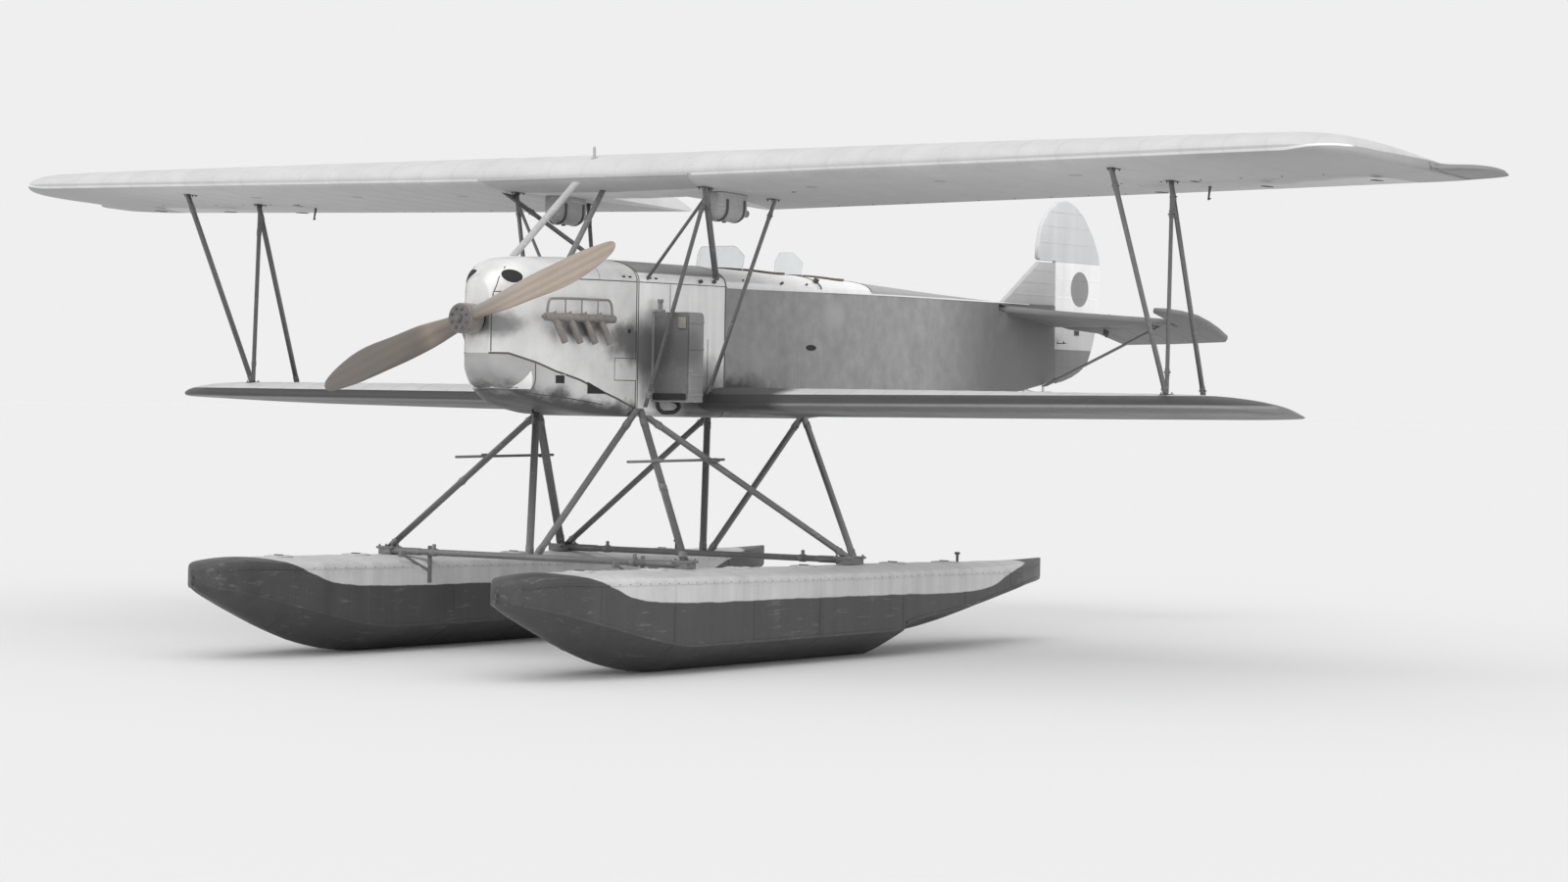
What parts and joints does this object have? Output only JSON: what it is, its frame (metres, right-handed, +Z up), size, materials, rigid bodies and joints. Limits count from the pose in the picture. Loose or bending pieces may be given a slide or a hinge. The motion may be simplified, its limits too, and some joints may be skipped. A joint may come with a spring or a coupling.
{
  "type": "twin-float biplane seaplane",
  "caption": "Open-cockpit biplane on twin floats with a wooden propeller, thick cantilever upper wing, side radiators and hinged control surfaces.",
  "frame": {"origin": "bottom centre of the bounding box, level with the float keels", "axes": "nose along -Y, port wing along +X, +Z up"},
  "size_m": [14.27, 11.09, 4.081],
  "materials": {
    "bare_metal": "sheet metal panels, satin, lightly scuffed",
    "dark_fabric": "doped fabric, dark, dull",
    "wing_skin": "doped fabric and plywood, mid grey, dull",
    "strut_paint": "dark painted streamlined tube",
    "float_paint": "light painted float with a dark bottom",
    "prop_wood": "dark varnished laminated wood",
    "engine_iron": "dark engine metal, dull",
    "radiator_core": "dark honeycomb core with a metal case",
    "tail_paint": "light painted tail surface with a plain dark disc",
    "seat_leather": "brown padded leather",
    "screen_glass": "clear bent screen"
  },
  "bodies": {
    "airframe": {"cabane_struts_port": "strut_paint", "cabane_struts_starboard": "strut_paint", "diagonal_float_strut_port": "strut_paint", "diagonal_float_strut_starboard": "strut_paint", "engine_block": "engine_iron", "engine_cowl": "bare_metal", "exhaust_port": "engine_iron", "exhaust_starboard": "engine_iron", "fin": "strut_paint", "float_port": "float_paint", "float_starboard": "float_paint", "front_float_strut_port": "strut_paint", "front_float_strut_starboard": "strut_paint", "fuselage_front": "bare_metal", "fuselage_rear": "dark_fabric", "header_pipe_front": "float_paint", "header_pipe_rear": "strut_paint", "interplane_struts_port": "strut_paint", "interplane_struts_starboard": "strut_paint", "lower_wing_port": "wing_skin", "lower_wing_starboard": "wing_skin", "observer_coaming": "bare_metal", "observer_seat": "seat_leather", "pilot_coaming": "bare_metal", "pilot_seat": "seat_leather", "radiator_port": "radiator_core", "radiator_starboard": "radiator_core", "rear_cabane_strut_port": "strut_paint", "rear_cabane_strut_starboard": "strut_paint", "rear_float_strut_port": "strut_paint", "rear_float_strut_starboard": "strut_paint", "rear_windscreen": "screen_glass", "spreader_front": "strut_paint", "spreader_rear": "strut_paint", "tailplane": "dark_fabric", "tailplane_strut_port": "strut_paint", "tailplane_strut_starboard": "strut_paint", "turtle_deck": "dark_fabric", "upper_wing": "wing_skin", "windscreen": "screen_glass", "wing_tank_port": "float_paint", "wing_tank_starboard": "float_paint"},
    "propeller": {"propeller": "prop_wood"},
    "rudder": {"rudder": "tail_paint"},
    "elevator_port": {"elevator_port": "dark_fabric"},
    "elevator_starboard": {"elevator_starboard": "dark_fabric"},
    "aileron_port": {"aileron_port": "wing_skin"},
    "aileron_starboard": {"aileron_starboard": "wing_skin"}
  },
  "joints": [
    {"name": "propeller_spin", "type": "hinge", "parent": "airframe", "child": "propeller", "pos_m": [0, -4.155, 2.66], "axis": [0, 1, 0], "continuous": true},
    {"name": "rudder_hinge", "type": "hinge", "parent": "airframe", "child": "rudder", "pos_m": [0, 4.69, 3.16], "axis": [0, 0, 1], "range_deg": [-25, 25]},
    {"name": "elevator_port_hinge", "type": "hinge", "parent": "airframe", "child": "elevator_port", "pos_m": [0.9, 4.595, 2.86], "axis": [1, 0, 0], "range_deg": [0, 43]},
    {"name": "elevator_starboard_hinge", "type": "hinge", "parent": "airframe", "child": "elevator_starboard", "pos_m": [-0.9, 4.595, 2.86], "axis": [1, 0, 0], "range_deg": [0, 43]},
    {"name": "aileron_port_hinge", "type": "hinge", "parent": "airframe", "child": "aileron_port", "pos_m": [5.6, -1.305, 3.87], "axis": [1, 0, 0], "range_deg": [-20, 20]},
    {"name": "aileron_starboard_hinge", "type": "hinge", "parent": "airframe", "child": "aileron_starboard", "pos_m": [-5.6, -1.305, 3.87], "axis": [1, 0, 0], "range_deg": [-20, 20]}
  ],
  "couplings": [
    {"joint": "elevator_starboard_hinge", "follows": "elevator_port_hinge", "ratio": 1},
    {"joint": "aileron_starboard_hinge", "follows": "aileron_port_hinge", "ratio": -1}
  ]
}
